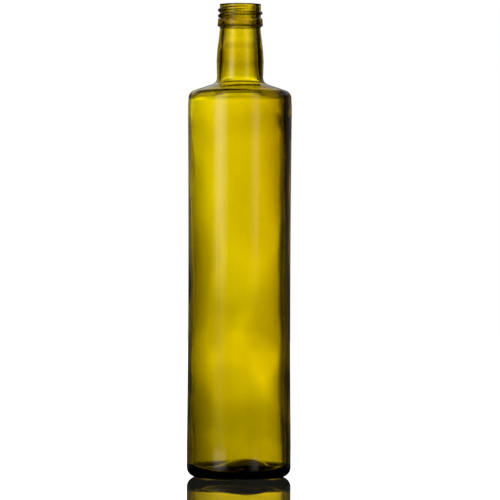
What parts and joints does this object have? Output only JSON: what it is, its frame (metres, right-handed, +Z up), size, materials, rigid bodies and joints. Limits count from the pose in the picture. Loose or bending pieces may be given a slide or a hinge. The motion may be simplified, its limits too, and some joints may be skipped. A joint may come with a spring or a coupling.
{
  "type": "olive oil bottle",
  "caption": "Tall round bottle of olive green glass for olive oil, empty and open, with a threaded mouth, a short neck and a rounded shoulder.",
  "frame": {"origin": "centre of the base, on the surface that the bottle stands on", "axes": "+Z up along the bottle's axis; -Y is the side that the picture shows, and the thread starts 30 degrees to its right"},
  "size_m": [0.0692, 0.0692, 0.3145],
  "materials": {
    "glass": "clear olive green glass, smooth and glossy"
  },
  "bodies": {
    "root": {"bottle": "glass"}
  },
  "joints": []
}
